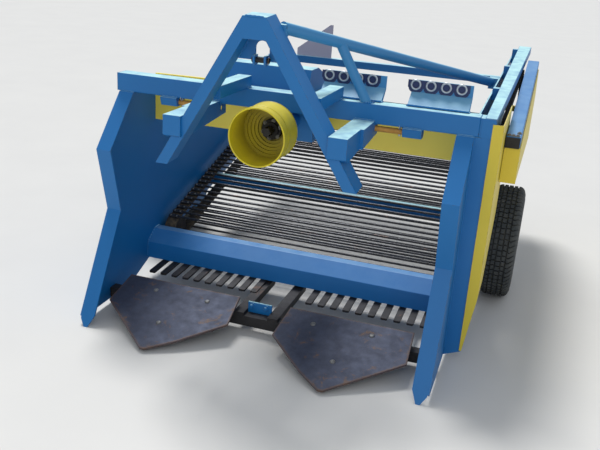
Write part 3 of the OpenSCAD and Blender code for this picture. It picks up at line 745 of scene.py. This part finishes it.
def web_clamps():
    """The forged flat ends of the rods on both belts, each with its clamp strip and two rivets."""
    low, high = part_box("web_belts")
    clamps, rivets = bmesh.new(), bmesh.new()
    strip = [(x * MM, y * MM) for x, y in CLAMP]
    for rod_low, rod_high in islands("web_rods"):
        middle = (rod_low + rod_high) / 2
        # Rods above the belts' middle plane face up, and those of the lower run face down
        halfway = (low.z + high.z) / 2 + (middle.y - (low.y + high.y) / 2) * math.tan(WEB_SLOPE)
        outward = Vector((0, -math.sin(WEB_SLOPE), math.cos(WEB_SLOPE)))
        outward *= 1 if middle.z > halfway else -1
        across = outward.cross(RIGHT)
        for x in (low.x + CLAMP_INSET, high.x - CLAMP_INSET):
            base = Vector((x, middle.y, middle.z)) - outward * CLAMP_SEAT
            turn = Matrix((RIGHT, across, outward)).transposed().to_4x4()
            plate(clamps, strip, 0.0, CLAMP_THICK, Matrix.Translation(base) @ turn)
            for reach in (-RIVET_REACH, RIVET_REACH):
                turned(rivets, RIVET_HEAD, along(base + RIGHT * reach, outward), 10)
    new_piece("web_rod_clamps", clamps, web_steel, "frame", 30)
    new_piece("web_rivets", rivets, bolt_steel, "frame", 50)


def comb_teeth():
    """The comb's flat teeth, longer than the CAD blocks, chamfered and drooping a little."""
    longer, chamfer, droop, wider = 0.052, 0.004, 0.006, 0.0015
    bm = bmesh.new()
    for low, high in islands("finger_grates"):
        left, right, front = low.x - wider, high.x + wider, low.y - longer
        tooth = [
            (left, high.y, 0), (left, front + chamfer, droop), (left + chamfer, front, droop),
            (right - chamfer, front, droop), (right, front + chamfer, droop), (right, high.y, 0)]
        skin(bm, [
            [Vector((x, y, z - sink)) for x, y, sink in tooth]
            for z in (low.z + 0.0005, high.z - 0.0002)])
    new_piece("comb_teeth", bm, dark_steel, "frame", 35, ["finger_grates"])


web_clamps()
comb_teeth()


# ---------------------------------------------------------------- bolts and bearings

SHARE_SLOPE = math.radians(15.6)
SHARES_MIDDLE_X, SHARES_REAR_Y, SHARES_REAR_Z = -18, -65, 130
# The plough bolts as (place out from the shares' middle, place from their rear edge down the slope)
PLOUGH_BOLTS = ((480, 68), (236, 72), (372, 252))
PLOUGH_BOLT_RADIUS = 0.0115
CENTRE_PLATE_Y, CENTRE_PLATE_Z = -73, 103
CROSS_BEARING_X, CROSS_BEARING_CIRCLE = 752, 37
# The chain cover's underside rises from its front foot to its rear end; its top is above that
COVER_FOOT_Y, COVER_FOOT_Z, COVER_HEIGHT = 215, 862, 44.2
COVER_RISE = (1010 - COVER_FOOT_Z) / (1520 - COVER_FOOT_Y)
COVER_END = ((839, 860), (894, 860), (894, 903), (839, 903))
APRON_Y = 290
GEARBOX_LID_Z = 805
SEAL_RING_Y, SEAL_BOLTS_Y, SEAL_BOLT_CIRCLE = -147.5, -149, 35
# Bearing flanges on the walls, as (place across, shaft, bolt circle, bolt across flats)
BEARINGS = ((WALL_X, REAR_SHAFT, 52, 0.017), (748, FRONT_ROLLER, 44, 0.019))
APRON_BOLTS = ((-700, 948), (-420, 948), (-160, 948), (260, 930), (480, 930), (700, 930))


def share_bolts():
    """The three plough bolts that hold each blade: two near its rear edge, one to the point."""
    up = Vector((0, -math.sin(SHARE_SLOPE), math.cos(SHARE_SLOPE)))
    r = PLOUGH_BOLT_RADIUS
    bm = bmesh.new()
    for side in (-1, 1):
        for x, back in PLOUGH_BOLTS:
            at = spot(
                SHARES_MIDDLE_X + side * x, SHARES_REAR_Y - back * math.cos(SHARE_SLOPE),
                SHARES_REAR_Z - back * math.sin(SHARE_SLOPE))
            turned(bm, [(r, -0.001), (r * 0.97, 0.0016), (r * 0.8, 0.0036), (r * 0.45, 0.0046)],
                   along(at, up), 18)
    new_piece("share_bolts", bm, bolt_steel, "frame", 50)


def frame_bolts():
    """The hexagon bolts of the frame: centre plate, bearings, chain cover, apron and gearbox."""
    bm = bmesh.new()
    for x in (-73, -9):
        hex_bolt(bm, spot(x, CENTRE_PLATE_Y, CENTRE_PLATE_Z), AHEAD, 0.015, 0.2)
    new_piece("centre_plate_bolts", bm, blue_enamel, "frame", 30)
    bm = bmesh.new()
    for side, axis in SIDES:
        for k, a in enumerate(round_angles(4, 0.5)):
            for x, (y, z), reach, across in BEARINGS:
                at = spot(side * x, y + reach * math.cos(a), z + reach * math.sin(a))
                hex_bolt(bm, at, axis, across, k)
    # The cross shaft's bearing
    (y, z), reach = CROSS_SHAFT, CROSS_BEARING_CIRCLE
    for k, a in enumerate(round_angles(4, 0.5)):
        at = spot(CROSS_BEARING_X, y + reach * math.cos(a), z + reach * math.sin(a))
        hex_bolt(bm, at, RIGHT, 0.013, k)
    # The chain cover's front end
    over = Vector((0, -COVER_RISE, 1)).normalized()
    for x, y in ((850, 226), (866, 224), (882, 226), (886, 262)):
        top = COVER_FOOT_Z + (y - COVER_FOOT_Y) * COVER_RISE + COVER_HEIGHT
        hex_bolt(bm, spot(x, y - 5, top), over, 0.010, 0.3)
    for x, z in APRON_BOLTS:
        hex_bolt(bm, spot(x, APRON_Y, z), AHEAD, 0.013, 0.3)
    # The gearbox's bottom lid
    for x in (-80, 0, 80):
        for y in (100, 370):
            hex_bolt(bm, spot(x, y, GEARBOX_LID_Z), -UP, 0.017, 0.1)
    new_piece("hexagon_bolts", bm, bolt_steel, "frame", 30)


def bearing_housings():
    """Pressed flange bearings on the walls, the gearbox's seal ring and the chain cover's end."""
    corner, corner_spread = 0.066, 0.22
    bm = bmesh.new()
    for side, axis in SIDES:
        where = along(spot(side * WALL_X, *REAR_SHAFT), axis)
        square = [
            (corner * math.cos(a + t), corner * math.sin(a + t))
            for a in round_angles(4, 0.5) for t in (-corner_spread, 0, corner_spread)]
        plate(bm, square, 0.0, 0.006, where)
        turned(bm, [(0.040, 0.005), (0.038, 0.016), (0.030, 0.020), (0.0185, 0.020)], where, 32)
    turned(bm, [(0.0395, -0.020), (0.0395, -0.001), (0.038, 0.0015), (0.031, 0.0015)],
           along(spot(0, SEAL_RING_Y, SHAFT_Z), AHEAD), 40)
    skin(bm, [[spot(x, y, z) for x, z in COVER_END] for y in (209.5, 212)])
    new_piece("bearing_housings", bm, dark_steel, "frame", 35)
    bm = bmesh.new()
    reach = SEAL_BOLT_CIRCLE
    for k, a in enumerate(round_angles(6, 0.3)):
        at = spot(reach * math.cos(a), SEAL_BOLTS_Y, SHAFT_Z + reach * math.sin(a))
        hex_bolt(bm, at, AHEAD, 0.0085, k)
    new_piece("seal_ring_bolts", bm, bolt_steel, "frame", 30)


share_bolts()
frame_bolts()
bearing_housings()


# ---------------------------------------------------------------- hitch

LYNCH_PIN_X, LYNCH_PIN_Y, LYNCH_PIN_Z = 456, 20, 910
# The cone's rolled lip and two ribs, as (length place, radius, wire in metres, its sides)
CONE_WIRES = ((-303.5, 107, 0.0032, 8), (-261, 108.2, 0.0016, 6), (-165, 108.2, 0.0016, 6))


def hitch_fittings():
    """Lynch pins and rings in the lower link pins, split pins and a sleeve on the top one."""
    lynch_pin = [(0.004, -0.018), (0.0046, -0.016), (0.0046, 0.016),
                 (0.007, 0.017), (0.007, 0.026), (0.006, 0.028)]
    bow, bow_above = 0.019, 0.022
    bm = bmesh.new()
    for side in (-1, 1):
        base = spot(side * LYNCH_PIN_X, LYNCH_PIN_Y, LYNCH_PIN_Z)
        turned(bm, lynch_pin, along(base, UP), 14)
        ring_wire(bm, [
            base + Vector((0, bow * math.cos(a), bow_above + bow * math.sin(a) * 0.8))
            for a in round_angles(28)], 0.0021)
    for side in (-1, 1):
        turned(bm, [(0.0018, -0.013), (0.0018, 0.013)],
               along(mast_spot(side * 28, *TOP_LINK_PIN), Vector((0, 0.3, 1))), 8)
    new_piece("lynch_pins", bm, ring_steel, "frame", 40)
    bm = bmesh.new()
    pin_low, pin_high = max(islands("hitch_pins"), key=lambda box: box[1].z)
    half, chamfer = (pin_high.x - pin_low.x) / 2 + 0.0004, 0.0015
    sleeve = [(0.0092, -half), (0.0101, chamfer - half), (0.0101, half - chamfer), (0.0092, half)]
    turned(bm, sleeve, along(mast_spot(0, *TOP_LINK_PIN), RIGHT), 28)
    new_piece("top_pin_sleeve", bm, dark_steel, "frame", 40)


def shaft_cone_lip():
    """The rolled lip of the shaft cone's mouth and the two moulded ribs round it."""
    bm = bmesh.new()
    for y, r, thick, sides in CONE_WIRES:
        ring_wire(bm, [
            spot(r * math.cos(a), y, SHAFT_Z + r * math.sin(a)) for a in round_angles(72)],
            thick, sides)
    new_piece("shaft_cone_lip", bm, cone_plastic, "frame", 60)


def ring_shade_bands():
    """Navy bands of painted shade behind the rings: straight on top, with painted ring shadows
    scalloped below.
    """
    margin, above, scallop, scallop_depth = 0.031, 0.010, 0.0275, 0.018
    rings = islands("lip_rings")
    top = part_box("ring_plates")[1].z - 0.0015
    bm = bmesh.new()
    for row in (rings[:4], rings[4:]):
        middles = [(low + high) / 2 for low, high in row]
        face = row[0][1].y + 0.0001
        left, right = middles[0].x - margin, middles[-1].x + margin
        under = middles[0].z - above
        outline = [(left, top), (left, under)]
        # Each ring's painted shadow scallops the band's lower edge
        for middle in middles:
            outline += [
                (middle.x + scallop * math.cos(a), under - 0.004 + scallop_depth * math.sin(a))
                for a in (math.pi + math.pi * k / 10 for k in range(11))]
        outline += [(right, under), (right, top)]
        skin(bm, [[Vector((x, face + thick, z)) for x, z in outline] for thick in (-0.002, 0.0)])
    new_piece("ring_shade_bands", bm, shade_navy_enamel, "frame", 30)


# Each apron sheet's stations across the machine, as (x, lower edge, upper edge)
APRON_SHEETS = (
    ((-729.5, 758, 969), (-130, 758, 977)),
    ((98, 822, 944), (229.8, 822, 944), (230, 758, 944), (729.5, 758, 944)))


def apron_sheets():
    """The yellow sheets behind the beam, hemmed along the top; the right one is lower."""
    front, back, hem = APRON_Y, APRON_Y + 3, APRON_Y + 11
    bm = bmesh.new()
    for stations in APRON_SHEETS:
        skin(bm, [
            [spot(x, y, z) for y, z in (
                (front, low), (back, low), (back, top - 3), (hem, top - 2), (hem, top),
                (front + 2, top), (front, top - 2))]
            for x, low, top in stations])
    # The apron's yellow is lightened as painted light
    new_piece("apron_sheets", bm, lit_yellow_enamel, "frame", 30,
              ["front_apron"])


hitch_fittings()
shaft_cone_lip()
ring_shade_bands()
apron_sheets()


# ---------------------------------------------------------------- welds and caps

FILLET = 0.0042
# Seams that both sides of the machine have, as (bead, places that it runs through)
SIDE_SEAMS = (
    # Walls to the beam, front flanges to the walls
    (FILLET, ((671, 0.5, 930), (735, 0.5, 930))),
    (FILLET, ((730, -3, 926), (730, -180, 722))),
    (FILLET, ((730, -180, 719), (730, -112, 448), (730, -335, 44))),
    (FILLET, ((736, 4, 930.5), (736, 72, 930.5))),
    # Hitch arms, lugs and mast stays to the beam
    (FILLET, ((279, 0, 930.5), (279, 0, 941), (361, 0, 941))),
    (FILLET, ((279, 1, 929.5), (279, 60, 929.5))),
    (FILLET, ((361, 1, 929.5), (361, 60, 929.5))),
    (FILLET, ((470, -1, 929.5), (470, 53, 929.5))),
    (FILLET, ((543, -1, 929.5), (543, 53, 929.5))),
    (FILLET, ((470, -2, 930), (543, -2, 930))),
    (FILLET, ((163, 0.5, 1005), (163, 40, 1005))),
    (FILLET, ((219, 0.5, 1005), (219, 40, 1005))),
    (FILLET, ((163, 40.5, 1005), (219, 40.5, 1005))),
    # Cross tube and rear bar to the walls
    (0.005, ((729.5, 205, 101), (729.5, 215, 174), (729.5, 284, 223), (729.5, 330, 223))),
    (FILLET, ((729.5, 1900, 897), (729.5, 1945, 897))),
    (FILLET, ((729.5, 1900, 852), (729.5, 1900, 897))),
    # Axle plates to the walls
    (FILLET, ((737, 752, 300), (737, 752, 559), (737, 872, 559), (737, 872, 300))),
)
BRACE_FOOT = (324, 22, 20)  # the middle of the short brace's foot on the beam, and its radius
# The drive side's corner plate, as (place across, height)
CORNER_PLATE = ((757, 931), (795, 931), (807, 963), (807, 1003), (757, 1003))


def seam(bm, places, size=FILLET):
    """Weld beads from each place to the next."""
    for start, end in zip(places, places[1:]):
        weld_bead(bm, start, end, size)


def painted_beads():
    """The painted fillet beads where plates and sections meet."""
    bm = bmesh.new()
    for side in (-1, 1):
        for size, places in SIDE_SEAMS:
            seam(bm, [spot(side * x, y, z) for x, y, z in places], size)
        # Mast plate between the legs
        seam(bm, [mast_spot(side * 39, 81, 1246), mast_spot(side * 92, 81, 1158)], 0.0035)
    # Ring plates to the beam
    for low, high in ((468, 700), (118, 368)):
        seam(bm, [spot(low, 42, 1010.5), spot(high, 42, 1010.5)])
        seam(bm, [spot(low, 44, 1005.5), spot(low, 75, 1005.5)])
        seam(bm, [spot(high, 44, 1005.5), spot(high, 75, 1005.5)])
    # Mast head, the short brace's foot and the right front flange
    seam(bm, [mast_spot(-33, -0.5, 1318.5), mast_spot(33, -0.5, 1318.5)])
    x, y, r = BRACE_FOOT
    seam(bm, [
        spot(x + r * math.cos(a), y + r * math.sin(a), 1006)
        for a in round_angles(16) + [2 * math.pi]], 0.0045)
    seam(bm, [spot(736.5, 1, 60), spot(736.5, 1, 925)], 0.003)
    new_piece("weld_beads", bm, blue_enamel, "frame", 60)


def end_caps():
    """Caps on the open ends of the beam and the mast stays, and on the drive side's corner."""
    bm = bmesh.new()
    beam_end, stay_end = rounded_box(0.0665, 0.0665, 0.004), rounded_box(0.0455, 0.0355, 0.003)
    for side, axis in SIDES:
        plate(bm, beam_end, -0.006, 0.0, along(spot(side * 749.2, 37.5, 967.5), axis))
        plate(bm, stay_end, -0.004, 0.0, along(spot(side * 191, -261, 1028), AHEAD))
    skin(bm, [[spot(x, y, z) for x, z in CORNER_PLATE] for y in (-2.5, -0.3)])
    new_piece("end_caps", bm, blue_enamel, "frame", 35)


painted_beads()
end_caps()


# ---------------------------------------------------------------- floor and light

SUN_PLACE, SUN_SPREAD, SUN_POWER = (-1.6, 2.3, 5.0), 18, 2.75  # metres, degrees, W/m2
FILL_PLACE, FILL_SIZE, FILL_POWER = (1.6, -6.0, 3.6), 4.0, 60  # metres, metres, W
LAMPS_AIM = Vector((0, 0, 0.4))
SKY_STRENGTH, BACKDROP_STRENGTH = 0.55, 1.0
FLOOR_HALF_WIDTH = 400  # metres, so that its edge is never seen
FLOOR_MOTTLE = 600  # mm


def pale_floor():
    """A plain floor of smooth pale concrete: matt and very faintly mottled."""
    bm = bmesh.new()
    bmesh.ops.create_grid(bm, x_segments=2, y_segments=2, size=FLOOR_HALF_WIDTH)
    mesh = bpy.data.meshes.new("floor")
    bm.to_mesh(mesh)
    bm.free()
    floor = bpy.data.objects.new("floor", mesh)
    scene.collection.objects.link(floor)
    finish, tree, shader, place = new_finish("smooth_pale_concrete")
    mottle = add(tree, "ShaderNodeTexNoise", {
        "Vector": place.outputs["Object"], "Scale": per_mm(FLOOR_MOTTLE), "Detail": 8.0,
        "Roughness": 0.6})
    colour = add(tree, "ShaderNodeMix", {
        0: mottle.outputs["Fac"], 6: linear("D0CECA"), 7: linear("D9D7D2")}, data_type="RGBA")
    feed(tree, shader, {
        "Base Color": colour.outputs[2], "Roughness": 0.95, "Specular IOR Level": 0.1})
    mesh.materials.append(finish)


def hang_lamp(lamp, place, power):
    """Hangs a lamp at a place, aimed at the machine's middle."""
    lamp.energy = power
    holder = bpy.data.objects.new(lamp.name, lamp)
    aim = (Vector(place) - LAMPS_AIM).to_track_quat("Z", "Y").to_matrix().to_4x4()
    holder.matrix_world = Matrix.Translation(place) @ aim
    scene.collection.objects.link(holder)


def soft_light():
    """A wide sun lamp from the rear left, a low fill in front and an even sky."""
    sun = bpy.data.lights.new("sun_side_lamp", "SUN")
    sun.angle = math.radians(SUN_SPREAD)
    hang_lamp(sun, SUN_PLACE, SUN_POWER)
    fill = bpy.data.lights.new("front_fill_lamp", "AREA")
    fill.shape = "DISK"
    fill.size = FILL_SIZE
    hang_lamp(fill, FILL_PLACE, FILL_POWER)
    world = bpy.data.worlds.new("even_sky")
    world.use_nodes = True
    scene.world = world
    tree = world.node_tree
    tree.nodes.clear()
    seen = add(tree, "ShaderNodeLightPath")
    light = add(tree, "ShaderNodeBackground", {
        "Color": linear("E6EEFA"), "Strength": SKY_STRENGTH})
    backdrop = add(tree, "ShaderNodeBackground", {
        "Color": linear("E4E5E5"), "Strength": BACKDROP_STRENGTH})
    either = add(tree, "ShaderNodeMixShader", {
        0: seen.outputs["Is Camera Ray"], 1: light.outputs[0], 2: backdrop.outputs[0]})
    add(tree, "ShaderNodeOutputWorld", {"Surface": either.outputs[0]})


pale_floor()
soft_light()
